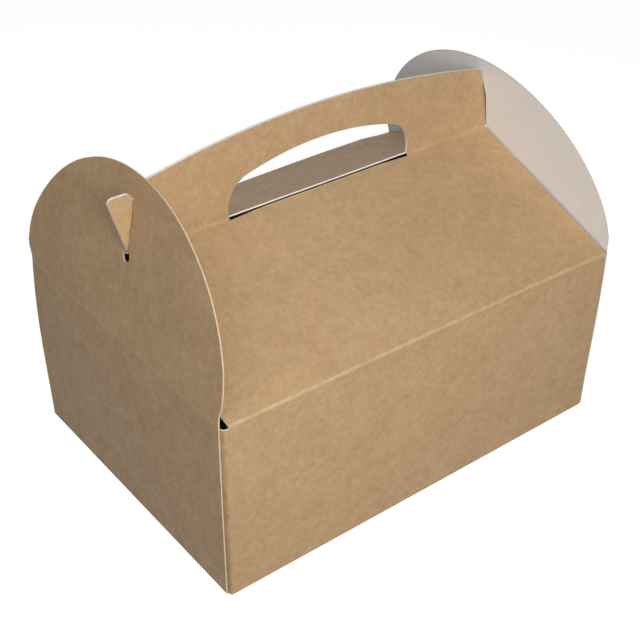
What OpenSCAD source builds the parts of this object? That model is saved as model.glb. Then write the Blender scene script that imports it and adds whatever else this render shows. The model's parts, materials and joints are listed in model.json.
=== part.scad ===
// Handled cardboard box, folded from one sheet of kraft board.
// Four walls stand on a base. Two sloping roof panels meet at a ridge, where each goes on
// upwards as one ply of the carry handle. An arched flap on each end wall closes the gable,
// and a hooked tab at each end of the handle passes through a slot in that flap.
// The origin is at the centre of the base's underside, X runs along the ridge and Z is up.

/* [Body] */
// Length of the body, over the faces of the two end walls
box_l = 200; // [170:1:240]
// Width of the body, over the faces of the front and back walls
box_w = 142; // [120:1:165]
// Height of the walls, from the table to their upper creases
wall_h = 83; // [60:1:110]
// Thickness of the board
board_t = 0.6; // [0.4:0.05:0.8]
// How far the upright edges of an end wall stand back from the front and back walls
end_wall_setback = 1; // [0.9:0.1:2]
// Width of the glue flaps, folded from the front and back walls and glued behind the end walls
glue_flap_w = 18; // [12:1:24]
// How far the top and bottom edges of a glue flap slope inwards at its free side
glue_flap_taper = 8; // [4:1:12]
// How far the glue flaps stop short of the wall's creases
glue_flap_end_gap = 1.5; // [1:0.5:4]

/* [Roof] */
// Height of the ridge above the wall creases
roof_rise = 34.5; // [28:0.5:42]
// Running gap between the roof's and handle's ends and the inner faces of the end flaps
roof_end_gap = 0.4; // [0.2:0.1:1]
// Length of the corner that is clipped off each roof panel, along the wall crease
corner_clip_l = 3; // [1:0.5:5]
// Height of the clipped corner
corner_clip_h = 4.5; // [2:0.5:7]

/* [Handle] */
// Gap between the two plies of the handle, back to back
ply_gap = 0.2; // [0.1:0.05:0.5]
// How far the handle's ends reach above the tops of the tabs
handle_above_tab = 3.8; // [2:0.2:8]
// How much higher the handle's top edge is in the middle than at its ends
handle_crown = 9; // [5:0.5:14]
// Radius of the handle's upper corners
handle_corner_r = 9.5; // [4:0.5:12]
// Length of the hand opening
opening_l = 91; // [80:1:110]
// Height of the hand opening above the ridge, in the middle
opening_h = 22; // [20:0.5:26]
// How much higher the opening's top edge is in the middle than at its sides
opening_crown = 8.5; // [6:0.5:10]
// Radius of the opening's upper corners
opening_corner_r = 13.5; // [8:0.5:14]

/* [Tabs] */
// How far above the ridge a tab leaves its slot, along the flap
tab_above_ridge = 1.7; // [1:0.1:4]
// Height of a tab along the flap, from its point to its top
tab_h = 23.4; // [18:0.2:28]
// How far a tab stands out from the flap's outer face
tab_reach = 10.8; // [7:0.2:13]
// Radius of a tab's upper corners
tab_corner_r = 2.4; // [1:0.2:3]
// Clearance between a tab's faces and the sides of its slot
slot_side_gap = 0.3; // [0.2:0.05:0.6]
// Clearance between the top of a tab's swing and the top of its slot
slot_top_gap = 0.35; // [0.2:0.05:1]
// Radius of the round hole at the foot of the slot
keyhole_r = 2.3; // [1.8:0.1:3]
// How far the keyhole's centre lies below the tab's point
keyhole_drop = 2.4; // [1.5:0.1:4]
// How far the keyhole tapers up into the slot, above its centre
keyhole_taper = 6.5; // [4:0.5:9]

/* [End flaps] */
// How far the closed end flaps lean inwards from upright, in degrees
flap_lean = 11.5; // [8:0.5:15]
// How far each side of a flap stands out past the front and back walls
flap_flare = 1; // [0:0.1:2]
// Height over which the flap widens from the end wall's width, above its crease
flap_flare_h = 4; // [2:0.5:6]
// How far the arch rises over its half width, as if it were one arc from side to side
flap_crown = 52.8; // [46:0.2:56]
// Radius of the arch's shoulders
flap_shoulder_r = 44; // [34:0.5:46]
// Board left above the slot, at the top of the arch
flap_above_slot = 8.8; // [6:0.2:14]
// Clearance at the crease between the end wall's top and the flap's foot
crease_gap = 0.08; // [0.04:0.02:0.3]

/* [Hidden] */

// Straight facets on a long arc and on a corner
arch_steps = 24;
corner_steps = 10;
// Cutting shapes reach this far past what they cut
over = 1;
// A tab's outline starts this far inside the handle's end
tab_root_l = 4;

// Where the end walls' inner faces are, which is where the base and the long walls end
wall_end_x = box_l / 2 - board_t;
// The handle's plies: their outer faces lie this far from the middle plane
ply_face_y = board_t + ply_gap / 2;
ridge_z = wall_h + roof_rise;
roof_angle = atan2(roof_rise, box_w / 2 - ply_face_y);

// Heights along a leaning flap, measured from its crease
ridge_s = roof_rise / cos(flap_lean);
tab_foot_s = ridge_s + tab_above_ridge;
tab_top_s = tab_foot_s + tab_h;
slot_top_s = tab_top_s + slot_top_gap;
flap_h = slot_top_s + flap_above_slot;
slot_half_w = ply_face_y + slot_side_gap;
keyhole_s = tab_foot_s - keyhole_drop;

// Half the length of the roof and handle at height z: they end just inside the leaning flaps
function roof_end_x(z) =
    box_l / 2 - (board_t + roof_end_gap) / cos(flap_lean) - (z - wall_h) * tan(flap_lean);

// A point of the right-hand flap's plane: s up along it from the crease, out from its face
function flap_point(s, out) = [
    box_l / 2 - s * sin(flap_lean) + out * cos(flap_lean),
    wall_h + s * cos(flap_lean) + out * sin(flap_lean)
];

// Points along an arc, both ends included
function arc(centre, r, from, to, steps) =
    [for (i = [0:steps]) let (a = from + (to - from) * i / steps) centre + r * [cos(a), sin(a)]];

// The same points on the other side of the middle, in the opposite order
function mirrored(points) =
    [for (i = [len(points) - 1:-1:0]) [-points[i].x, points[i].y]];

// Radius of an arc that rises by crown over half its chord
function crown_radius(half_chord, crown) = (half_chord * half_chord + crown * crown) / (2 * crown);

// Centre of a corner of radius r that touches a big arc from inside and a straight side.
// The side's outward direction is at angle side_a, and the side lies side_d from the origin.
function corner_centre(arc_c, arc_r, side_a, side_d, r) =
    let (
        n = [cos(side_a), sin(side_a)],
        along = [-sin(side_a), cos(side_a)],
        k = side_d - r - n * arc_c
    )
    arc_c + k * n + sqrt(pow(arc_r - r, 2) - k * k) * along;

// Upper right quarter of an arched outline: the corner, then the top arc up to the middle
function arched_top(arc_c, arc_r, side_a, side_d, r) =
    let (
        c = corner_centre(arc_c, arc_r, side_a, side_d, r),
        meet_a = atan2(c.y - arc_c.y, c.x - arc_c.x)
    )
    concat(
        arc(c, r, side_a, meet_a, corner_steps),
        arc(arc_c, arc_r, meet_a, 90, arch_steps)
    );

// The sheet's cross-section, front half: the outer faces from the base up to the handle,
// then back down along the inner faces, one board thickness away
handle_end_z = wall_h + tab_top_s * cos(flap_lean) + handle_above_tab;
handle_top_z = handle_end_z + handle_crown;
roof_n = [sin(roof_angle), -cos(roof_angle)];
roof_foot = [-box_w / 2, wall_h] + board_t * roof_n;

function on_roof_inside(y) = [y, roof_foot.y + (y - roof_foot.x) * tan(roof_angle)];

front_outside = [
    [-box_w / 2, 0],
    [-box_w / 2, wall_h],
    [-ply_face_y, ridge_z],
    [-ply_face_y, handle_top_z + over]
];
front_inside = [
    [-ply_gap / 2, handle_top_z + over],
    on_roof_inside(-ply_gap / 2),
    on_roof_inside(-box_w / 2 + board_t),
    [-box_w / 2 + board_t, board_t]
];
sheet_section = concat(
    front_outside,
    front_inside,
    mirrored(front_inside),
    mirrored(front_outside)
);

// The handle's top edge, seen from the front
handle_half_l = roof_end_x(handle_end_z);
handle_arc_r = crown_radius(handle_half_l, handle_crown);
handle_arc_c = [0, handle_top_z - handle_arc_r];
roof_side_d = [roof_end_x(wall_h), wall_h] * [cos(flap_lean), sin(flap_lean)];

// Seen from the front: walls, clipped roof corner, leaning end, rounded corner, top arc
front_right = concat(
    [
        [wall_end_x, 0],
        [wall_end_x, wall_h - board_t],
        [wall_end_x - corner_clip_l, wall_h],
        [roof_end_x(wall_h + corner_clip_h), wall_h + corner_clip_h]
    ],
    arched_top(handle_arc_c, handle_arc_r, flap_lean, roof_side_d, handle_corner_r)
);

// A tab, seen from the front: from inside the handle out through the slot. Its top edge is an
// arc about the flap's crease, so that the flap can swing off it. Both upper corners are arcs
// that touch the top edge, and their centres lie on one circle about the crease.
crease = flap_point(0, 0);
tab_centre_r = tab_top_s - tab_corner_r;
tab_outer_a = 90 + flap_lean - asin((tab_reach - tab_corner_r) / tab_centre_r);
tab_inner_a = 90 + flap_lean - asin(tab_corner_r / tab_centre_r);
tab_outer_c = crease + tab_centre_r * [cos(tab_outer_a), sin(tab_outer_a)];
tab_inner_c = crease + tab_centre_r * [cos(tab_inner_a), sin(tab_inner_a)];
// The slanting outer edge runs from the tab's point to where it touches the outer corner
tab_point = flap_point(tab_foot_s, 0);
tab_edge = tab_outer_c - tab_point;
tab_edge_a = atan2(tab_edge.y, tab_edge.x) - asin(tab_corner_r / norm(tab_edge));
tab_right = concat(
    [flap_point(tab_foot_s, -tab_root_l), tab_point],
    arc(tab_outer_c, tab_corner_r, tab_edge_a - 90, tab_outer_a, corner_steps),
    arc(crease, tab_top_s, tab_outer_a, tab_inner_a, corner_steps),
    arc(tab_inner_c, tab_corner_r, tab_inner_a, 180 + flap_lean, corner_steps),
    [flap_point(tab_centre_r, -tab_root_l)]
);

// The hand opening: straight foot on the ridge, upright sides, round corners and arched top
opening_arc_r = crown_radius(opening_l / 2, opening_crown);
opening_arc_c = [0, ridge_z + opening_h - opening_arc_r];
opening_right = concat(
    [[opening_l / 2, ridge_z]],
    arched_top(opening_arc_c, opening_arc_r, 0, opening_l / 2, opening_corner_r)
);

// A flap lying flat: half width against height from the crease, with a three-centred arch
flap_half_w = box_w / 2 + flap_flare;
flap_foot_s = board_t * tan(flap_lean) + crease_gap;
arch_r = crown_radius(flap_half_w, flap_crown);
flap_right = concat(
    [
        [box_w / 2 - end_wall_setback, flap_foot_s],
        [flap_half_w, flap_flare_h]
    ],
    arched_top([0, flap_h - arch_r], arch_r, 0, flap_half_w, flap_shoulder_r)
);

// Slot and keyhole, from the top of the slot down the right side to the keyhole's foot
keyhole_a = asin(keyhole_r / norm([slot_half_w, keyhole_taper]))
    - atan2(slot_half_w, keyhole_taper);
slot_right = concat(
    [
        [slot_half_w, slot_top_s],
        [slot_half_w, keyhole_s + keyhole_taper]
    ],
    arc([0, keyhole_s], keyhole_r, keyhole_a, -90, corner_steps)
);

// Stands an outline drawn as [y, z] upright and gives it length along X, about the middle
module along_x(length) {
    rotate([90, 0, 90])
        linear_extrude(height = length, center = true)
            children();
}

// Stands an outline drawn as [x, z] upright and gives it depth along Y, about the middle
module along_y(depth) {
    rotate([90, 0, 0])
        linear_extrude(height = depth, center = true)
            children();
}

// An outline drawn for the right side only, with its mirror image on the left
module both_sides(points) {
    polygon(concat(points, mirrored(points)));
}

// Base, long walls, roof panels and handle plies: the sheet's section, cut to its front view
module folded_panels() {
    intersection() {
        along_x(box_l + 2 * over)
            polygon(sheet_section);
        along_y(box_w + 2 * over)
            union() {
                both_sides(front_right);
                polygon(tab_right);
                polygon(mirrored(tab_right));
            }
    }
}

module end_wall() {
    translate([wall_end_x, -box_w / 2 + end_wall_setback, 0])
        cube([board_t, box_w - 2 * end_wall_setback, wall_h]);
}

// One glue flap, behind the right end wall and folded from the front wall
module glue_flap() {
    low = glue_flap_end_gap;
    high = wall_h - glue_flap_end_gap - board_t;
    translate([wall_end_x - board_t / 2, 0, 0])
        along_x(board_t)
            polygon([
                [-box_w / 2, low],
                [-box_w / 2 + glue_flap_w, low + glue_flap_taper],
                [-box_w / 2 + glue_flap_w, high - glue_flap_taper],
                [-box_w / 2, high]
            ]);
}

module carton() {
    color("burlywood")
        difference() {
            union() {
                folded_panels();
                for (side = [0, 1])
                    mirror([side, 0, 0]) {
                        end_wall();
                        for (back = [0, 1])
                            mirror([0, back, 0])
                                glue_flap();
                    }
            }
            along_y(2 * (ply_face_y + over))
                both_sides(opening_right);
        }
}

// The left flap, leaning inwards from its crease, with its outer face on the wall's face
module end_flap() {
    translate([-box_l / 2, 0, wall_h])
        rotate([0, flap_lean, 0])
            translate([board_t / 2, 0, 0])
                along_x(board_t)
                    difference() {
                        both_sides(flap_right);
                        both_sides(slot_right);
                    }
}

module left_end_flap() {
    color("tan")
        end_flap();
}

module right_end_flap() {
    color("tan")
        mirror([1, 0, 0])
            end_flap();
}

carton();
left_end_flap();
right_end_flap();
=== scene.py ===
# %% [markdown]
# # A handled cardboard box, cut flat and folded
# The real box is one sheet of kraft board, brown outside and white inside. A die cuts its
# outline and presses its creases while it lies flat, and then it is folded and glued.
# It could be modelled as thin slabs that meet at the corners. This lesson works as the box
# maker does: each blank is cut flat, bent round its creases, and only then given the board's
# thickness, so that every fold has its true round and every cut its own pale edge.

import json
from math import acos, asin, atan2, cos, degrees, hypot, pi, radians, sin, sqrt, tan

import bmesh
import bpy
from mathutils import Matrix, Vector, noise


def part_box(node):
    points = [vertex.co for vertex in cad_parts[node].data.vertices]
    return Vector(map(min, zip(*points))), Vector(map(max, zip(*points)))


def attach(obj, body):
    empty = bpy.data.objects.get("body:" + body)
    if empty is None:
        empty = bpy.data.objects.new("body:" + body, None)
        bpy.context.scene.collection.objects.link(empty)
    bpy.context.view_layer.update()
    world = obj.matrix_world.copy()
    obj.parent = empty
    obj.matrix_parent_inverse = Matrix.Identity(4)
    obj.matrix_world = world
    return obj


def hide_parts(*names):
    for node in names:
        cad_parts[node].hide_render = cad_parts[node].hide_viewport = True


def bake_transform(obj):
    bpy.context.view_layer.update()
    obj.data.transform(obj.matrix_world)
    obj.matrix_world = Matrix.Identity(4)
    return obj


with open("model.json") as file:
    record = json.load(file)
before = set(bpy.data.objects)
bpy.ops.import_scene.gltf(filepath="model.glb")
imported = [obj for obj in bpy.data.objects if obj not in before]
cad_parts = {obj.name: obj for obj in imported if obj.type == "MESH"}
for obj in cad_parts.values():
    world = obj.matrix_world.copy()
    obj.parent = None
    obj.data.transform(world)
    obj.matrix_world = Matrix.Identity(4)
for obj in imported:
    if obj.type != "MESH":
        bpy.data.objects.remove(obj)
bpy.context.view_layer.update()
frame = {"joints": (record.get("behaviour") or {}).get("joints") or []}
mm = 0.001

# %% [markdown]
# ## Sizes that the frame gives
# Everything that the frame already knows is read from it, so the looks can't drift away from
# the solids: the length, width and height of the box, the height of the wall creases, which
# the flaps' hinges lie on, and the width of the flaps.

# %% Read the main sizes from the frame
carton_low, carton_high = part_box("carton")
flap_low, flap_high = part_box("right_end_flap")
flap_joint = next(joint for joint in frame["joints"] if joint["name"] == "right_flap_crease")
half_l = carton_high.x
half_w = carton_high.y
handle_top_z = carton_high.z
wall_h = flap_joint["pos_m"][2]
flap_half_w = flap_high.y
print("box, mm:", round(2 * half_l / mm, 1), "x", round(2 * half_w / mm, 1), "x",
      round(handle_top_z / mm, 1), "and its wall creases at", round(wall_h / mm, 1))

# %% [markdown]
# ## Sizes of the board and its creases
# Folding board this thick shows as a pale line at every cut. A crease doesn't make a sharp
# corner: the board bends round a radius of about its own thickness. The sheet is modelled as
# its middle layer first, so each radius here is the middle layer's.

# %% Board, folds and the roof's slope
board_t = 0.6 * mm
half_t = board_t / 2
ply_gap = 0.2 * mm
fold_radius = 0.75 * mm
base_radius = 0.35 * mm
roof_rise = 34.5 * mm
ridge_z = wall_h + roof_rise
roof_angle = atan2(roof_rise, half_w - board_t - ply_gap / 2)
flap_lean = radians(11.5)
end_gap = 0.9 * mm
print("roof slope, degrees:", round(degrees(roof_angle), 1))


def fold_loss(turn, radius=fold_radius):
    """How much shorter a round fold makes the board, on each side, than a sharp corner."""
    return radius * (tan(abs(turn) / 2) - abs(turn) / 2)


# %% [markdown]
# ## From heights on the box to places on the flat blank
# The blank of the body runs from the middle of the base out under the front and back: half
# the base, a wall, a roof panel and a ply of the handle. To draw a cut at its right place, a
# height on the folded box is turned into a distance from the base's middle line. Each panel
# starts at the fold before it, less what the round fold takes up.

# %% Stations of the folds on the flat blank
wall_turn = radians(90)
eaves_turn = radians(90) - roof_angle
ridge_turn = -eaves_turn


def roof_middle_z(y):
    """Height of the roof panel's middle layer at a distance y from the ridge's plane."""
    return wall_h + (half_w - y) * tan(roof_angle) - half_t / cos(roof_angle)


ply_y = ply_gap / 2 + half_t
eaves_z = roof_middle_z(half_w - half_t)
ridge_middle_z = roof_middle_z(ply_y)
base_corner = half_w - half_t


def flat_wall(z):
    return base_corner - 2 * fold_loss(wall_turn, base_radius) + z - half_t


eaves_corner = flat_wall(eaves_z)


def flat_roof(z):
    return eaves_corner - 2 * fold_loss(eaves_turn) + (z - eaves_z) / sin(roof_angle)


ridge_corner = flat_roof(ridge_middle_z)


def flat_handle(z):
    return ridge_corner - 2 * fold_loss(ridge_turn) + z - ridge_middle_z


ridge_line = ridge_corner - fold_loss(ridge_turn)
print("folds from the middle of the base, mm:",
      [round(place / mm, 1) for place in (base_corner, eaves_corner, ridge_corner)])

# %% [markdown]
# ## A cutting line, drawn like a pen stroke
# A die's cutting line is made of straight and round stretches. Here a single point is the pen:
# extruding it gives a straight cut, and spinning it about a centre gives a round one, so no
# list of outline points is worked out by hand. The place matrix says where the drawing lies on
# the flat sheet, and a mirrored place turns the round stretches the other way.

# %% The pen that draws a blank's outline


class CuttingLine:
    """One closed outline on the flat sheet, drawn from point to point."""

    def __init__(self, sheet, place, start):
        self.sheet = sheet
        self.place = place
        self.sense = 1 if place.determinant() > 0 else -1
        self.first = sheet.verts.new(place @ Vector((*start, 0)))
        self.tip = self.first
        self.edges = []

    def straight(self, *points):
        for point in points:
            grown = bmesh.ops.extrude_vert_indiv(self.sheet, verts=[self.tip])
            self.tip = grown["verts"][0]
            self.tip.co = self.place @ Vector((*point, 0))
            self.edges += grown["edges"]

    def round(self, centre, turn, steps):
        before = set(self.sheet.edges)
        spun = bmesh.ops.spin(
            self.sheet, geom=[self.tip], cent=self.place @ Vector((*centre, 0)),
            axis=(0, 0, 1), angle=turn * self.sense, steps=steps, use_merge=False,
        )
        self.tip = next(part for part in spun["geom_last"] if isinstance(part, bmesh.types.BMVert))
        self.edges += [edge for edge in self.sheet.edges if edge not in before]

    def close(self):
        self.edges.append(self.sheet.edges.new((self.tip, self.first)))
        bmesh.ops.edgenet_fill(self.sheet, edges=self.edges)


# %% [markdown]
# ## One rule for the three arches
# The handle, the hand opening and the end flaps all have the same kind of top: one long flat
# arc, with a tighter round corner that runs into the straight side. The long arc's radius comes
# from its chord and crown, and the corner's centre lies where a circle touches both.

# %% Centres and turns of an arched top
arch_steps = 24
corner_steps = 10


def crown_radius(half_chord, crown):
    return (half_chord ** 2 + crown ** 2) / (2 * crown)


def direction(angle):
    return Vector((cos(angle), sin(angle)))


def angle_of(arrow):
    return atan2(arrow.y, arrow.x)


def corner_centre(arc_centre, arc_radius, side_angle, side_distance, radius):
    """Centre of a corner inside the arc that also touches the side facing side_angle."""
    side = direction(side_angle)
    reach = side_distance - radius - side.dot(arc_centre)
    rise = sqrt((arc_radius - radius) ** 2 - reach ** 2)
    return arc_centre + reach * side + rise * direction(side_angle + pi / 2)


def cut_arched_top(line, arc_centre, arc_radius, side_angle, side_distance, radius):
    """Cuts up from the straight side, round the corner and along the arc to the middle."""
    centre = corner_centre(arc_centre, arc_radius, side_angle, side_distance, radius)
    meeting = angle_of(centre - arc_centre)
    line.straight(centre + radius * direction(side_angle))
    line.round(centre, meeting - side_angle, corner_steps)
    line.round(arc_centre, pi / 2 - meeting, arch_steps)


# %% [markdown]
# ## The end flap's plane
# The closed flaps lean inwards, and the roof and the handle end just inside them. So the
# slanting ends, the tabs and the slots are all measured along that leaning plane: up from the
# crease, and out from the flap's face.

# %% Points on the leaning plane, and how far the roof and handle reach
crease = Vector((half_l, wall_h))
up_flap = direction(flap_lean + pi / 2)
off_flap = direction(flap_lean)


def flap_point(up, out):
    return crease + up * up_flap + out * off_flap


def roof_end_x(z):
    return half_l - (board_t + end_gap) / cos(flap_lean) - (z - wall_h) * tan(flap_lean)


tab_foot = roof_rise / cos(flap_lean) + 1.7 * mm
tab_top = tab_foot + 23.4 * mm
handle_end_z = wall_h + tab_top * cos(flap_lean) + 3.8 * mm
print("handle ends, mm above the ridge:", round((handle_end_z - ridge_z) / mm, 1))

# %% [markdown]
# ## Cut the handle's end with its hooked tab
# Each ply of the handle ends in a tab that pokes out through the flap's slot and hooks over
# its edge. The tab has a point at its foot, a slanting outer edge, and a top that falls a
# little outwards, between two round corners: a tight outer one and a wider one at the neck.

# %% The tab and the handle's upper edge
tab_outer_r = 2.2 * mm
tab_outer_up = 56.8 * mm
tab_outer_out = 7.1 * mm
tab_inner_r = 2.6 * mm
neck_up = 57.8 * mm
foot_drop = {-1: 0, 1: 1.3 * mm}
handle_corner_r = 2.5 * mm


def on_ply(point):
    """A point seen from the front, as a place on the flat blank's handle ply."""
    return Vector((point.x, flat_handle(point.y)))


def cut_tab(line, end):
    outer = flap_point(tab_outer_up, tab_outer_out)
    inner = flap_point(neck_up, tab_inner_r)
    foot_up = tab_foot - foot_drop[end]
    tab_point = flap_point(foot_up, 0)
    to_outer = outer - tab_point
    edge_angle = angle_of(to_outer) - asin(tab_outer_r / to_outer.length)
    between = outer - inner
    top_angle = angle_of(between) + acos((tab_inner_r - tab_outer_r) / between.length)
    line.straight(
        on_ply(flap_point(foot_up, -board_t - end_gap)),
        on_ply(tab_point),
        on_ply(outer + tab_outer_r * direction(edge_angle - pi / 2)),
    )
    line.round(on_ply(outer), top_angle - edge_angle + pi / 2, corner_steps)
    line.straight(on_ply(inner + tab_inner_r * direction(top_angle)))
    line.round(on_ply(inner), pi + flap_lean - top_angle, corner_steps)
    line.straight(on_ply(flap_point(neck_up, -board_t - end_gap)))


def cut_handle_top(line):
    half_chord = roof_end_x(handle_end_z)
    radius = crown_radius(half_chord, handle_top_z - handle_end_z)
    centre = on_ply(Vector((0, handle_top_z - radius)))
    foot = on_ply(Vector((roof_end_x(wall_h), wall_h)))
    cut_arched_top(line, centre, radius, flap_lean, foot.dot(off_flap), handle_corner_r)


# %% [markdown]
# ## Cut the hand opening
# Both plies have the same opening, with its straight foot on the ridge crease, so the roof
# panels' own edges show there. The front panel is cut just short of its fold, so its edge faces
# back and only the back panel's edge is seen from the front. The front panel's foot also dips
# towards both corners, and those dips are the two dark slivers in the photo.

# %% The opening, from its top in the middle down to its foot
opening_half_l = 46.2 * mm
opening_h = 22 * mm
opening_crown = 8.5 * mm
opening_corner_r = 13.5 * mm
foot_dip = 0.8 * mm
foot_dip_l = 17 * mm
front_foot = -0.45 * mm


def cut_opening(line, dip, foot_lift):
    radius = crown_radius(opening_half_l, opening_crown)
    centre = on_ply(Vector((0, ridge_z + opening_h - radius)))
    corner = corner_centre(centre, radius, 0, opening_half_l, opening_corner_r)
    meeting = angle_of(corner - centre)
    line.straight(centre + Vector((0, radius)))
    line.round(centre, meeting - pi / 2, arch_steps)
    line.round(corner, -meeting, corner_steps)
    foot = ridge_line + foot_lift
    line.straight((opening_half_l, foot - dip))
    line.straight((opening_half_l - foot_dip_l, foot))
    line.straight((0, foot))


# %% [markdown]
# ## Cut one quarter of the body's blank
# The blank is drawn in four quarters. The base stops short of the end wall, which brings its
# own strip of the base with it. Beyond the wall's fold lies the glue flap, with sloping ends,
# and a small corner is clipped off the roof panel so that the creases can't jam. The left
# clips are larger, and in the photo the front one shows as a dark notch.

# %% The quarter's outline
end_half_w = {-1: half_w - 1.5 * mm, 1: half_w - 0.6 * mm}
slit = 0.05 * mm
seam_x = half_l - 3 * mm
glue_corner = half_l - board_t - half_t - slit
glue_radius = 1.1 * mm
glue_line = glue_corner - fold_loss(wall_turn, glue_radius)
glue_end = glue_corner - 2 * fold_loss(wall_turn, glue_radius) + 18 * mm - half_t
glue_low = 0.5 * mm
glue_high = wall_h - 1.1 * mm
glue_taper = 8 * mm
round_w = 4 * mm
roof_clip_l = {-1: 3.6 * mm, 1: 0.7 * mm}
roof_clip_h = {-1: 4.5 * mm, 1: 1.8 * mm}
notch_x = half_l - 3.8 * mm
notch_h = 0.25 * mm


def cut_quarter(sheet, end, side, dip, foot_lift):
    """A quarter of the blank: end is -1 for the left, and side is -1 for the front."""
    line = CuttingLine(sheet, Matrix.Diagonal((end, side, 1, 1)), (0, 0))
    clip_z = wall_h + roof_clip_h[end]
    line.straight(
        (seam_x, 0),
        (seam_x, end_half_w[end] + slit),
        (glue_line, end_half_w[end] + slit),
        (glue_line, flat_wall(glue_low)),
        (glue_end, flat_wall(glue_low + glue_taper)),
        (glue_end, flat_wall(glue_high - glue_taper)),
        (glue_line + round_w, flat_wall(glue_high)),
        (glue_line, flat_wall(glue_high)),
        (notch_x, flat_wall(glue_high)),
        (notch_x, flat_wall(glue_high) + notch_h),
        (half_l - roof_clip_l[end], eaves_corner - fold_loss(eaves_turn)),
        (roof_end_x(clip_z), flat_roof(clip_z)),
        (roof_end_x(ridge_z), ridge_line),
    )
    cut_tab(line, end)
    cut_handle_top(line)
    cut_opening(line, dip, foot_lift)
    line.close()


# %% [markdown]
# ## Score the sheet into small cells
# A big flat face can't bend. Cutting planes score it into cells: wide ones on the panels,
# narrow ones where a fold will bend, and one more close on each side of a fold, which keeps
# the shading of the flat panel from leaking into the round.

# %% Lines for panels and folds
cell = 5 * mm
fold_steps = 5
fold_guard = 0.3 * mm


def panel_lines(start, stop):
    """Lines about a cell apart between two places, ends left out."""
    count = max(1, round((stop - start) / cell))
    return [start + (stop - start) * step / count for step in range(1, count)]


def fold_lines(corner, turn, radius=fold_radius, steps=fold_steps):
    """Lines across a fold's round, with a guard line on each side."""
    run = radius * abs(turn)
    start = corner - fold_loss(turn, radius) - run / 2
    across = [start + run * step / steps for step in range(steps + 1)]
    return [start - fold_guard] + across + [start + run + fold_guard]


def score(sheet, across, places):
    """Cuts the whole sheet along straight lines that lie this far out along across."""
    for place in places:
        bmesh.ops.bisect_plane(
            sheet, geom=sheet.verts[:] + sheet.edges[:] + sheet.faces[:], dist=1e-7,
            plane_co=across * place, plane_no=across,
        )


def score_panels(sheet, across, start, folds, stop):
    """Scores folds, given as lists of lines, and the panels between them."""
    edge = start
    for fold in folds:
        score(sheet, across, panel_lines(edge, fold[0]) + fold)
        edge = fold[-1]
    score(sheet, across, panel_lines(edge, stop))


# %% [markdown]
# ## Finish the flat blank
# The drawn parts are welded where they meet, and every face is turned so that the brown side
# lies face down, as it does on the folding table. The flat place of each point is kept as a UV
# map, in metres. All patterns of the board are drawn on that map, so they run on over the
# folds as they do on a real sheet.

# %% Weld, turn face down and map


def finish_blank(sheet):
    bmesh.ops.remove_doubles(sheet, verts=sheet.verts[:], dist=1e-6)
    sheet.normal_update()
    face_up = [face for face in sheet.faces if face.normal.z > 0]
    bmesh.ops.reverse_faces(sheet, faces=face_up)
    blank_map = sheet.loops.layers.uv.new("blank")
    for face in sheet.faces:
        for loop in face.loops:
            loop[blank_map].uv = loop.vert.co.xy
    area = sum(face.calc_area() for face in sheet.faces)
    print("blank:", len(sheet.faces), "cells,", round(area * 1e4, 1), "square cm")


right, front, back = Vector((1, 0, 0)), Vector((0, -1, 0)), Vector((0, 1, 0))
left = -right

body_sheet = bmesh.new()
for end in (-1, 1):
    cut_quarter(body_sheet, end, -1, foot_dip, front_foot)
    cut_quarter(body_sheet, end, 1, 0, 0)
loose_radius = 2.4 * mm
body_folds = [
    fold_lines(base_corner, wall_turn, base_radius),
    fold_lines(eaves_corner, eaves_turn),
    fold_lines(ridge_corner, ridge_turn),
]
for way in (front, back):
    score_panels(body_sheet, way, 0, body_folds, flat_handle(handle_top_z))
corner_round = fold_lines(glue_corner, wall_turn, loose_radius, 3 * fold_steps)
for way in (left, right):
    score_panels(body_sheet, way, 0, [corner_round], glue_end)
finish_blank(body_sheet)

# %% [markdown]
# ## Bend the sheet round a crease
# Everything past a crease turns by the same angle, and the strip on the crease itself is
# wrapped round the fold's radius. The last fold of a panel is bent first, as long as the sheet
# is still flat there, and the ones nearer the base carry it round after that. A notch parts the
# glue flap from the roof panel, so the upright corners only bend what lies below it.

# %% The bend, and the looser round at the top of the upright corners


def smooth_step(value, start, stop):
    share = min(max((value - start) / (stop - start), 0), 1)
    return share * share * (3 - 2 * share)


def bend(points, across, corner, turn, radius_at=lambda place: fold_radius):
    """Turns all that lies past the corner upwards, or downwards for a negative turn."""
    for point in points:
        radius = radius_at(point.co)
        run = radius * abs(turn)
        start = corner - fold_loss(turn, radius) - run / 2
        reach = point.co.dot(across)
        past = reach - start
        if past <= 0:
            continue
        swing = turn * min(past / run, 1)
        beyond = max(past - run, 0)
        centre_z = run / turn
        arm = centre_z - point.co.z
        bent_reach = start + arm * sin(swing) + beyond * cos(swing)
        point.co += (bent_reach - reach) * across
        point.co.z = centre_z - arm * cos(swing) + beyond * sin(swing)


def loose_corner_radius(place):
    """The wall's end folds tight, but opens near its free top, where nothing holds it."""
    share = smooth_step(abs(place.y), flat_wall(glue_high - 10 * mm), flat_wall(glue_high))
    return glue_radius + (loose_radius - glue_radius) * share ** 2


def tight_radius(place):
    """The base's folds carry the box's weight and are pressed sharp."""
    return base_radius


below_notch = flat_wall(glue_high) + notch_h / 2
wall_points = [point for point in body_sheet.verts if abs(point.co.y) < below_notch]
for way in (left, right):
    bend(wall_points, way, glue_corner, wall_turn, loose_corner_radius)
for way in (front, back):
    bend(body_sheet.verts, way, ridge_corner, ridge_turn)
    bend(body_sheet.verts, way, eaves_corner, eaves_turn)
    bend(body_sheet.verts, way, base_corner, wall_turn, tight_radius)
bmesh.ops.translate(body_sheet, verts=body_sheet.verts[:], vec=(0, 0, half_t))

# %% [markdown]
# ## The end panels
# The end wall, its crease and the arched flap are one stretch of the sheet, folded up from the
# end of the base. It is cut and bent in the same way, but the drawing lies sideways: its first
# coordinate is the distance from the middle, and its second the distance up from the crease.

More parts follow.
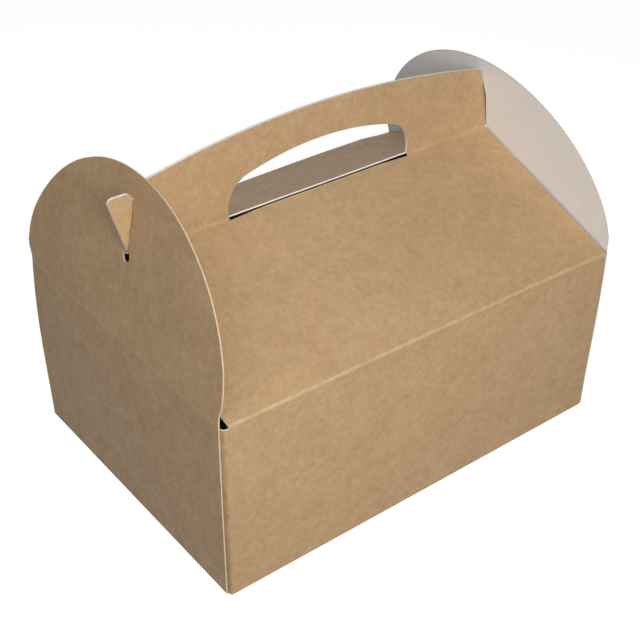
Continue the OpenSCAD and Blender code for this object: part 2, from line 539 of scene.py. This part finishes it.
# %% Sizes of the end panel
end_corner = half_l - half_t
crease_radius = 1.5 * mm
crease_middle_z = wall_h - half_t * tan(flap_lean / 2)
crease_corner = end_corner - 2 * fold_loss(wall_turn, base_radius) + crease_middle_z - half_t
crease_loss = fold_loss(flap_lean, crease_radius)
flap_h = tab_top + 8.2 * mm
flap_side = flap_half_w - 0.6 * mm
flare_low = 2.2 * mm
plies_half = board_t + ply_gap / 2
slot_top = neck_up + 0.3 * mm
slot_top_w = plies_half + 0.06 * mm
slot_middle_up = 51.5 * mm
slot_middle_w = plies_half + 1.3 * mm
slot_foot_w = plies_half + 0.25 * mm
keyhole_r = {-1: 2.25 * mm, 1: 1.4 * mm}
keyhole_up = {-1: tab_foot - 2.7 * mm, 1: tab_foot - 3.4 * mm}
keyhole_taper = {-1: 5.5 * mm, 1: 3 * mm}
print("end flap's height along its lean, mm:", round(flap_h / mm, 1))


# %% [markdown]
# ## Cut an end panel with its slot and keyhole
# From the crease the flap flares softly from its wall's width to its own. Its slot is a long
# narrow lens, pushed open by the two plies in it, and it ends in a round keyhole, which stops
# the board from tearing.

# %% The end panel's outline


def cut_end_panel(sheet, side):
    flat_crease = crease_corner - 2 * crease_loss
    place = Matrix((
        (0, side, 0, side * flat_crease),
        (1, 0, 0, 0),
        (0, 0, 1, 0),
        (0, 0, 0, 1),
    ))
    seam = seam_x + slit - flat_crease
    line = CuttingLine(sheet, place, (0, seam))
    line.straight((end_half_w[side], seam), (end_half_w[side], flare_low))
    arch_radius = crown_radius(flap_side, 52.8 * mm)
    arch_centre = Vector((0, flap_h - arch_radius))
    cut_arched_top(line, arch_centre, arch_radius, 0, flap_side, 43 * mm)
    line.straight((0, slot_top), (slot_top_w, slot_top), (slot_middle_w, slot_middle_up))
    radius, taper = keyhole_r[side], keyhole_taper[side]
    keyhole_side = asin(radius / hypot(slot_foot_w, taper)) - atan2(slot_foot_w, taper)
    keyhole = Vector((0, keyhole_up[side]))
    line.straight((slot_foot_w, keyhole.y + taper))
    line.straight(keyhole + radius * direction(keyhole_side))
    line.round(keyhole, -pi / 2 - keyhole_side, corner_steps)
    line.close()


# %% [markdown]
# ## Score and bend both end panels
# The flap has to hinge, so its crease gets narrow cells on both sides, fine enough for the
# board to bend through a tight round instead of breaking.

# %% Two end panels
hinge_reach = 0.7 * mm
hinge_steps = 3


def end_panel_sheet(side):
    sheet = bmesh.new()
    cut_end_panel(sheet, side)
    way = right * side
    crease_fold = fold_lines(crease_corner, flap_lean, crease_radius, 2)
    inner, outer = crease_fold[1], crease_fold[-2]
    hinge = [inner - hinge_reach * step / hinge_steps for step in range(hinge_steps, 0, -1)]
    hinge += crease_fold[1:-1]
    hinge += [outer + hinge_reach * step / hinge_steps for step in range(1, hinge_steps + 1)]
    base_fold = fold_lines(end_corner, wall_turn, base_radius)
    score_panels(sheet, way, seam_x + slit, [base_fold, hinge], crease_corner + flap_h)
    score(sheet, back, panel_lines(0, flap_half_w))
    everything = sheet.verts[:] + sheet.edges[:] + sheet.faces[:]
    bmesh.ops.mirror(sheet, geom=everything, axis="Y", merge_dist=1e-6)
    finish_blank(sheet)
    bend(sheet.verts, way, crease_corner, flap_lean, lambda place: crease_radius)
    bend(sheet.verts, way, end_corner, wall_turn, tight_radius)
    bmesh.ops.translate(sheet, verts=sheet.verts[:], vec=(0, 0, half_t))
    return sheet


end_sheets = {side: end_panel_sheet(side) for side in (-1, 1)}

# %% [markdown]
# ## Let the folded box settle
# A folded carton is never quite flat: its walls belly out a little between the creases, the
# long creases bow where nothing holds them, and the board has a slight wave. The same soft
# displacement is applied to every piece, as a function of the place in space, so that pieces
# that lie on each other stay on each other.

# %% One displacement field for all the pieces
wall_belly = 0.35 * mm
end_belly = 1 * mm
foot_slip = 0.6 * mm
front_push = 1 * mm
back_bow = 1.9 * mm
back_lift = 1.4 * mm
wave_height = 0.12 * mm
wave_length = 38 * mm


def bump_between(value, start, stop):
    """One soft hill between two places, and nothing outside them."""
    share = (value - start) / (stop - start)
    return sin(pi * share) ** 2 if 0 < share < 1 else 0


def settle(place):
    """The give of the whole box: bellied walls and a slight wave."""
    x, y, z = place
    height = min(max(z / wall_h, 0), 1)
    near_front = smooth_step(abs(y), half_w - 25 * mm, half_w)
    near_end = smooth_step(abs(x), half_l - 25 * mm, half_l)
    out_y = wall_belly * bump_between(z, 0, wall_h) * bump_between(x, -half_l, half_l) * near_front
    out_x = end_belly * sin(pi * height ** 1.5) * near_end
    if x < 0:
        out_x *= smooth_step(y, -half_w, 0)
        out_x -= foot_slip * (1 - height) ** 2 * near_end
    near_eaves = height ** 2 * (1 - smooth_step(z, wall_h, wall_h + 22 * mm))
    near_eaves *= smooth_step(abs(y), half_w - 45 * mm, half_w)
    if y < 0:
        out_y += front_push * near_eaves * smooth_step(x, 40 * mm, half_l)
        rise = 0
    else:
        bow = near_eaves * smooth_step(x, -half_l, 0.7 * half_l)
        out_y += back_bow * bow
        rise = back_lift * bow * (1 - smooth_step(abs(x), half_l - 20 * mm, half_l - 3 * mm))
    wave = noise.noise_vector(place / wave_length) * wave_height
    lift = smooth_step(z, 2 * mm, 25 * mm)
    return place + Vector((
        (out_x if x > 0 else -out_x) + wave.x * lift * 0.5,
        (out_y if y > 0 else -out_y) + wave.y * lift,
        wave.z * lift + rise,
    ))


# %% [markdown]
# ## What only one piece does
# The front wall's foot stands out a little on the left. The handle sags slightly to the left,
# and its tabs lean back from the hand. The left flap is held in by its hook, springs out at its free
# sides, as a bent card does, and stands a little askew on its crease.

# %% The body's own give, and the bow of the flaps
foot_splay = 0.5 * mm
handle_slip = 0.9 * mm
handle_sag = 1.2 * mm
tab_turn = radians(10)
near_bow = {-1: 0.45 * mm, 1: 0.2 * mm}
far_bow = {-1: 0.9 * mm, 1: 0.2 * mm}
middle_pull = 0.35 * mm
bow_length = 70 * mm
foot_shift = {-1: 1.8 * mm, 1: 0}


def off_the_flap(place):
    """How far a point lies outside the closed flap's plane."""
    plane_x = half_l - (place.z - wall_h) * tan(flap_lean)
    return (abs(place.x) - plane_x) * cos(flap_lean)


def settle_body(place):
    leftward = 0.5 - 0.5 * place.x / half_l
    forward = smooth_step(-place.y, 0, half_w)
    foot = max(1 - place.z / wall_h, 0)
    above = smooth_step(place.z, ridge_z - 17 * mm, ridge_z + 4 * mm)
    above *= 1 - smooth_step(abs(place.x), 52 * mm, 80 * mm)
    upper = smooth_step(place.z, ridge_z, handle_top_z)
    out = max(off_the_flap(place), 0) if place.z > ridge_z else 0
    return place + Vector((
        -handle_slip * above,
        tan(tab_turn) * out * smooth_step(out, 0, 2 * mm) - foot_splay * forward * foot * leftward,
        -handle_sag * upper * (0.1 + 0.9 * leftward ** 1.5),
    ))


def settle_flap(place, side):
    up = (place.z - wall_h) / cos(flap_lean)
    if up <= 0:
        return place
    edge = smooth_step(abs(place.y), 8 * mm, 45 * mm)
    edge_bow = near_bow[side] if place.y < 0 else far_bow[side]
    out = sin(pi * min(up / bow_length, 1)) * (edge_bow * edge - middle_pull * (1 - edge))
    aside = foot_shift[side] * smooth_step(up, 0, 6 * mm) * (1 - smooth_step(up, 10 * mm, 50 * mm)) * edge
    return place + out * Vector((side * cos(flap_lean), 0, sin(flap_lean))) + aside * back


for point in body_sheet.verts:
    point.co = settle(settle_body(point.co))
for side, sheet in end_sheets.items():
    for point in sheet.verts:
        point.co = settle(settle_flap(point.co, side))

# %% [markdown]
# ## Materials: small helpers for node trees
# Every finish here is a principled shader with procedural patterns. The patterns read the map
# of the flat blank, in metres, so a noise of scale 1000 has features of a millimetre.

# %% Node helpers


class Finish:
    """A material whose nodes are added one at a time and wired by name."""

    def __init__(self, name):
        self.material = bpy.data.materials.new(name)
        self.material.use_nodes = True
        self.tree = self.material.node_tree
        self.shader = self.tree.nodes["Principled BSDF"]
        place = self.tree.nodes.new("ShaderNodeUVMap")
        place.uv_map = "blank"
        self.place = place.outputs["UV"]

    def node(self, kind, values=(), **settings):
        made = self.tree.nodes.new(kind)
        for name, value in settings.items():
            setattr(made, name, value)
        for socket, value in dict(values).items():
            if isinstance(value, bpy.types.NodeSocket):
                self.tree.links.new(value, made.inputs[socket])
            else:
                made.inputs[socket].default_value = value
        return made

    def stretched(self, along_x, along_y):
        """The flat place, stretched so that a pattern is longer one way than the other."""
        return self.node("ShaderNodeMapping", {0: self.place, 3: (along_x, along_y, 1)}).outputs[0]

    def noise(self, size, detail=2, roughness=0.5, place=None):
        """Noise with features of about this size."""
        values = {"Vector": place or self.place, "Scale": 1 / size, "Detail": detail, "Roughness": roughness}
        return self.node("ShaderNodeTexNoise", values, noise_dimensions="3D").outputs["Fac"]

    def math(self, operation, *values):
        return self.node("ShaderNodeMath", dict(enumerate(values)), operation=operation).outputs[0]

    def ramp(self, value, low, high, to_low=0.0, to_high=1.0):
        """Maps value from low..high onto to_low..to_high, softly at both ends."""
        values = {0: value, 1: low, 2: high, 3: to_low, 4: to_high}
        return self.node("ShaderNodeMapRange", values, interpolation_type="SMOOTHSTEP").outputs[0]

    def mix(self, share, first, second):
        values = {0: share, 6: first, 7: second}
        return self.node("ShaderNodeMix", values, data_type="RGBA").outputs[2]

    def bump(self, height, strength, distance):
        values = {"Height": height, "Strength": strength, "Distance": distance}
        normal = self.node("ShaderNodeBump", values).outputs[0]
        self.tree.links.new(normal, self.shader.inputs["Normal"])

    def colour(self, socket):
        self.tree.links.new(socket, self.shader.inputs["Base Color"])

    def roughness(self, socket):
        self.tree.links.new(socket, self.shader.inputs["Roughness"])


# %% [markdown]
# ## The brown kraft side
# Kraft paper is unbleached pulp: a soft cloudy brown with short fibres that lie mostly one way,
# and a few darker and lighter flecks. The clouds and fibres are noises of three sizes that move
# the colour between a darker and a lighter brown. Where the board is creased, its fibres are
# stretched and rubbed, and a pale uneven line shows; the same pale line is also a painted
# highlight, where the fold's round catches the light. Along the upright corners of the walls, a
# dark line is painted shade, where the corner's loose round turns away from the light.

# %% Kraft colour, fibres and flecks


def kraft_pattern(finish):
    """A value about 0.5 that clouds, fibres and flecks push up and down."""
    total = finish.math("ADD", 0.5, 0)
    layers = (
        (finish.noise(20 * mm, 3, 0.55), 0.65),
        (finish.noise(6.5 * mm, 3, 0.55), 0.85),
        (finish.noise(2.8 * mm, 4, 0.6), 1.1),
        (finish.noise(1.1 * mm, 3, 0.6, finish.stretched(1, 0.4)), 0.95),
    )
    for layer, strength in layers:
        total = finish.math("MULTIPLY_ADD", finish.math("SUBTRACT", layer, 0.5), strength, total)
    dark = finish.ramp(finish.noise(1.6 * mm, 2, 0.5, finish.stretched(1.2, 0.6)), 0.64, 0.73)
    light = finish.ramp(finish.noise(1.3 * mm, 2, 0.5, finish.stretched(0.6, 1.4)), 0.65, 0.74)
    total = finish.math("MULTIPLY_ADD", dark, -0.5, total)
    return finish.math("MULTIPLY_ADD", light, 0.45, total)


def crease_line(finish, axis, place, half_width, strength):
    """An uneven line along a fold, at this distance from the blank's middle line: a mask for pale lines,
    partly rubbed fibres and partly painted highlight, and for a dark line of painted shade.
    """
    along = finish.node("ShaderNodeSeparateXYZ", {0: finish.place}).outputs[axis]
    distance = finish.math("ABSOLUTE", finish.math("SUBTRACT", finish.math("ABSOLUTE", along), place))
    ragged = finish.ramp(finish.noise(2.2 * mm, 3, 0.7), 0.25, 0.75, -0.4, 0.4)
    distance = finish.math("MULTIPLY_ADD", ragged, half_width, distance)
    line = finish.ramp(distance, 0.15 * half_width, half_width, strength, 0.0)
    patchy = finish.ramp(finish.noise(6 * mm, 3, 0.6), 0.3, 0.62, 0.45, 1.0)
    return finish.math("MULTIPLY", line, patchy)


def kraft_board():
    finish = Finish("kraft_outside")
    pattern = kraft_pattern(finish)
    reddish = finish.mix(pattern, (0.396, 0.251, 0.127, 1), (0.540, 0.358, 0.196, 1))
    olive = finish.mix(pattern, (0.386, 0.254, 0.132, 1), (0.526, 0.362, 0.203, 1))
    brown = finish.mix(finish.ramp(finish.noise(3.6 * mm, 3, 0.6), 0.36, 0.64), reddish, olive)
    creases = [
        crease_line(finish, 1, eaves_corner - fold_loss(eaves_turn), 0.95 * mm, 0.5),
        crease_line(finish, 1, base_corner - fold_loss(wall_turn, base_radius), 0.5 * mm, 0.25),
        crease_line(finish, 1, ridge_line - 0.75 * mm, 0.26 * mm, 0.75),
        crease_line(finish, 1, ridge_line + 0.55 * mm, 0.26 * mm, 0.6),
        crease_line(finish, 0, crease_corner - crease_loss, 0.36 * mm, 0.7),
    ]
    crease_wear_and_highlight = creases[0]
    for crease_mark in creases[1:]:
        crease_wear_and_highlight = finish.math("MAXIMUM", crease_wear_and_highlight, crease_mark)
    # The dark line along the upright corners of the walls is painted shade, where the corner's loose round
    # turns away from the light; it is kept off the base.
    across = finish.math("ABSOLUTE", finish.node("ShaderNodeSeparateXYZ", {0: finish.place}).outputs[1])
    on_walls = finish.ramp(across, base_corner, base_corner + 2 * mm)
    painted_corner_shade = finish.math("MULTIPLY", crease_line(finish, 0, glue_line, 1.1 * mm, 0.6), on_walls)
    # The pale lines along the folds are partly rubbed fibres and partly a painted highlight, where the
    # fold's round catches the light.
    brown_with_crease_wear_and_highlight = finish.mix(crease_wear_and_highlight, brown, (0.66, 0.49, 0.29, 1))
    finish.colour(finish.mix(painted_corner_shade, brown_with_crease_wear_and_highlight, (0.24, 0.145, 0.066, 1)))
    finish.roughness(finish.ramp(pattern, 0.2, 0.8, 0.68, 0.58))
    grain = finish.noise(0.55 * mm, 3, 0.6, finish.stretched(1, 0.55))
    finish.bump(finish.math("MULTIPLY_ADD", pattern, 0.5, grain), 0.35, 0.05 * mm)
    finish.shader.inputs["Specular IOR Level"].default_value = 0.5
    return finish.material


# %% [markdown]
# ## The white side and the cut edges
# The inside is a smooth white liner with only the faintest cloud. A cut edge shows the board's
# core, a little creamier than the liner and rougher, with fibres standing out of it. The end
# panels' edges get a darker, browner copy of it, which is painted shade.

# %% White liner and pale cut edge


def white_liner():
    finish = Finish("white_inside")
    clouds = finish.noise(9 * mm, 4, 0.55)
    finish.colour(finish.mix(finish.ramp(clouds, 0.3, 0.7), (0.85, 0.86, 0.88, 1), (0.88, 0.89, 0.92, 1)))
    finish.roughness(finish.ramp(clouds, 0.3, 0.7, 0.66, 0.56))
    finish.bump(finish.noise(0.8 * mm, 3, 0.6), 0.2, 0.03 * mm)
    finish.shader.inputs["Specular IOR Level"].default_value = 0.35
    return finish.material


def cut_edge(name, darker, lighter):
    finish = Finish(name)
    fibres = finish.noise(0.9 * mm, 3, 0.65)
    finish.colour(finish.mix(finish.ramp(fibres, 0.3, 0.7), darker, lighter))
    finish.roughness(finish.ramp(fibres, 0.3, 0.7, 0.95, 0.85))
    finish.bump(fibres, 0.3, 0.05 * mm)
    finish.shader.inputs["Specular IOR Level"].default_value = 0.2
    return finish.material


kraft_outside = kraft_board()
white_inside = white_liner()
body_edge = cut_edge("cut_edge", (0.86, 0.82, 0.75, 1), (0.93, 0.90, 0.85, 1))
# The end panels' cut edge is a darker, browner copy of the same core's colour: painted shade.
end_edge_painted_shade = cut_edge("warm_cut_edge", (0.60, 0.45, 0.32, 1), (0.74, 0.60, 0.46, 1))

# %% [markdown]
# ## Give the sheets their thickness
# Solidify grows half the board on each side of the middle layer. It gives the inner side the
# second material and the cut rim the third, which is just what a white-lined board shows. The
# modifier is applied, so that the flaps' meshes are final.

# %% From a folded sheet to a board


def make_board(sheet, name, edge_finish):
    mesh = bpy.data.meshes.new(name)
    sheet.to_mesh(mesh)
    sheet.free()
    for finish in (kraft_outside, white_inside, edge_finish):
        mesh.materials.append(finish)
    board = bpy.data.objects.new(name, mesh)
    bpy.context.scene.collection.objects.link(board)
    thickness = board.modifiers.new("board", "SOLIDIFY")
    thickness.thickness = board_t
    thickness.offset = 0
    thickness.use_even_offset = False
    thickness.material_offset = 1
    thickness.material_offset_rim = 2
    evaluated = board.evaluated_get(bpy.context.evaluated_depsgraph_get())
    board.data = bpy.data.meshes.new_from_object(evaluated)
    board.data.name = name
    board.modifiers.clear()
    board.data.shade_smooth()
    board.data.set_sharp_from_angle(angle=radians(40))
    print(name, "has", len(board.data.polygons), "faces, mm:",
          [round(side / mm, 1) for side in board.dimensions])
    return board


body = make_board(body_sheet, "carton_sheet", body_edge)
left_end = make_board(end_sheets[-1], "left_end_panel", end_edge_painted_shade)
right_end = make_board(end_sheets[1], "right_end_panel", end_edge_painted_shade)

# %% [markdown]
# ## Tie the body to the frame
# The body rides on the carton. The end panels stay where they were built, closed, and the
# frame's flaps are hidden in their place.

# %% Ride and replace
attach(body, "carton")
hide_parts("carton")
for panel, side, name in ((left_end, -1, "left"), (right_end, 1, "right")):
    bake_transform(panel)
    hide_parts(name + "_end_flap")

# %% [markdown]
# ## Floor, light and surroundings
# The photo's box stands on white. The floor is pale and keeps a soft shadow, and only what the
# camera sees of it is lifted towards white, so the box isn't lit by a glowing floor. One soft
# lamp stands in front, a little to the left and above. A weaker one hangs close on the left, so
# its light falls off towards the back of the end wall. The weakest stands behind, for the back
# roof panel that is seen through the hand opening, and the surroundings add very little.

# %% The floor


def camera_share(tree):
    """One for rays that show what lies behind the object, zero for rays that light it."""
    rays = tree.nodes.new("ShaderNodeLightPath").outputs
    total = rays["Is Camera Ray"]
    for name in ("Is Glossy Ray", "Is Transmission Ray"):
        larger = tree.nodes.new("ShaderNodeMath")
        larger.operation = "MAXIMUM"
        tree.links.new(total, larger.inputs[0])
        tree.links.new(rays[name], larger.inputs[1])
        total = larger.outputs[0]
    return total


def pale_floor():
    material = bpy.data.materials.new("pale_floor")
    material.use_nodes = True
    tree = material.node_tree
    tree.nodes.clear()
    plain = tree.nodes.new("ShaderNodeBsdfDiffuse")
    plain.inputs["Color"].default_value = (0.35, 0.35, 0.35, 1)
    seen_diffuse = tree.nodes.new("ShaderNodeBsdfDiffuse")
    seen_diffuse.inputs["Color"].default_value = (0.4, 0.4, 0.4, 1)
    seen_glow = tree.nodes.new("ShaderNodeEmission")
    seen_glow.inputs["Strength"].default_value = 0.9
    seen = tree.nodes.new("ShaderNodeAddShader")
    tree.links.new(seen_diffuse.outputs[0], seen.inputs[0])
    tree.links.new(seen_glow.outputs[0], seen.inputs[1])
    choice = tree.nodes.new("ShaderNodeMixShader")
    tree.links.new(camera_share(tree), choice.inputs[0])
    tree.links.new(plain.outputs[0], choice.inputs[1])
    tree.links.new(seen.outputs[0], choice.inputs[2])
    output = tree.nodes.new("ShaderNodeOutputMaterial")
    tree.links.new(choice.outputs[0], output.inputs["Surface"])
    return material


floor_sheet = bmesh.new()
bmesh.ops.create_grid(floor_sheet, x_segments=1, y_segments=1, size=3)
floor_mesh = bpy.data.meshes.new("floor")
floor_sheet.to_mesh(floor_mesh)
floor_sheet.free()
floor_mesh.materials.append(pale_floor())
floor = bpy.data.objects.new("floor", floor_mesh)
bpy.context.scene.collection.objects.link(floor)

# %% The surroundings and the lamps
surroundings = bpy.data.worlds.new("studio")
bpy.context.scene.world = surroundings
surroundings.use_nodes = True
world_tree = surroundings.node_tree
world_tree.nodes.clear()
fill = world_tree.nodes.new("ShaderNodeBackground")
fill.inputs["Color"].default_value = (1.0, 1.0, 1.0, 1)
fill.inputs["Strength"].default_value = 0.04
white = world_tree.nodes.new("ShaderNodeBackground")
white.inputs["Color"].default_value = (1, 1, 1, 1)
white.inputs["Strength"].default_value = 1
world_choice = world_tree.nodes.new("ShaderNodeMixShader")
world_tree.links.new(camera_share(world_tree), world_choice.inputs[0])
world_tree.links.new(fill.outputs[0], world_choice.inputs[1])
world_tree.links.new(white.outputs[0], world_choice.inputs[2])
world_output = world_tree.nodes.new("ShaderNodeOutputWorld")
world_tree.links.new(world_choice.outputs[0], world_output.inputs["Surface"])

lamp_target = Vector((0, 0, 60 * mm))


def towards(azimuth, elevation):
    """The direction out of the scene: azimuth 0 is the front, and -90 the left."""
    return Vector((sin(azimuth) * cos(elevation), -cos(azimuth) * cos(elevation), sin(elevation)))


def hang_lamp(name, place, size, energy, colour):
    lamp_data = bpy.data.lights.new(name, "AREA")
    lamp_data.shape = "DISK"
    lamp_data.size = size
    lamp_data.energy = energy
    lamp_data.color = colour
    lamp = bpy.data.objects.new(name, lamp_data)
    bpy.context.scene.collection.objects.link(lamp)
    lamp.location = lamp_target + place
    lamp.rotation_euler = (-place).to_track_quat("-Z", "Y").to_euler()


hang_lamp("front_lamp", 650 * mm * towards(radians(-14), radians(27)), 280 * mm, 3.0, (1.0, 0.97, 0.93))
hang_lamp("left_lamp", 450 * mm * towards(radians(-70), radians(50)), 350 * mm, 0.64, (1.0, 0.98, 0.96))
hang_lamp("rear_lamp", 700 * mm * towards(radians(170), radians(50)), 400 * mm, 0.5, (1.0, 0.98, 0.96))

# %% [markdown]
# ## The camera
# The camera's direction, distance and lens come from a fit of the box's corners, creases and
# arches to the photo. It looks down from the front left, with a slight roll.

# %% Camera at the photo's viewpoint
view_azimuth = radians(-38.38)
view_elevation = radians(34.59)
view_roll = radians(0.86)
view_distance = 579.4 * mm
view_shift_right = 0.36 * mm
view_shift_up = 40.61 * mm
focal_in_pixels = 1251.3
picture_width = 640
sensor_width = 36

back_axis = towards(view_azimuth, view_elevation)
level_right = Vector((0, 0, 1)).cross(back_axis).normalized()
level_up = back_axis.cross(level_right)
right_axis = cos(view_roll) * level_right + sin(view_roll) * level_up
up_axis = cos(view_roll) * level_up - sin(view_roll) * level_right
camera_data = bpy.data.cameras.new("camera")
camera_data.sensor_width = sensor_width
camera_data.lens = focal_in_pixels / picture_width * sensor_width
camera_data.clip_start = 0.01
camera = bpy.data.objects.new("camera", camera_data)
bpy.context.scene.collection.objects.link(camera)
camera_place = back_axis * view_distance + right_axis * view_shift_right + up_axis * view_shift_up
camera.matrix_world = Matrix.Translation(camera_place) @ Matrix(
    (right_axis, up_axis, back_axis)
).transposed().to_4x4()
bpy.context.scene.camera = camera

# %% [markdown]
# ## Finish
# The colours are shown as they are written.

# %% View transform
bpy.context.scene.view_settings.view_transform = "Standard"
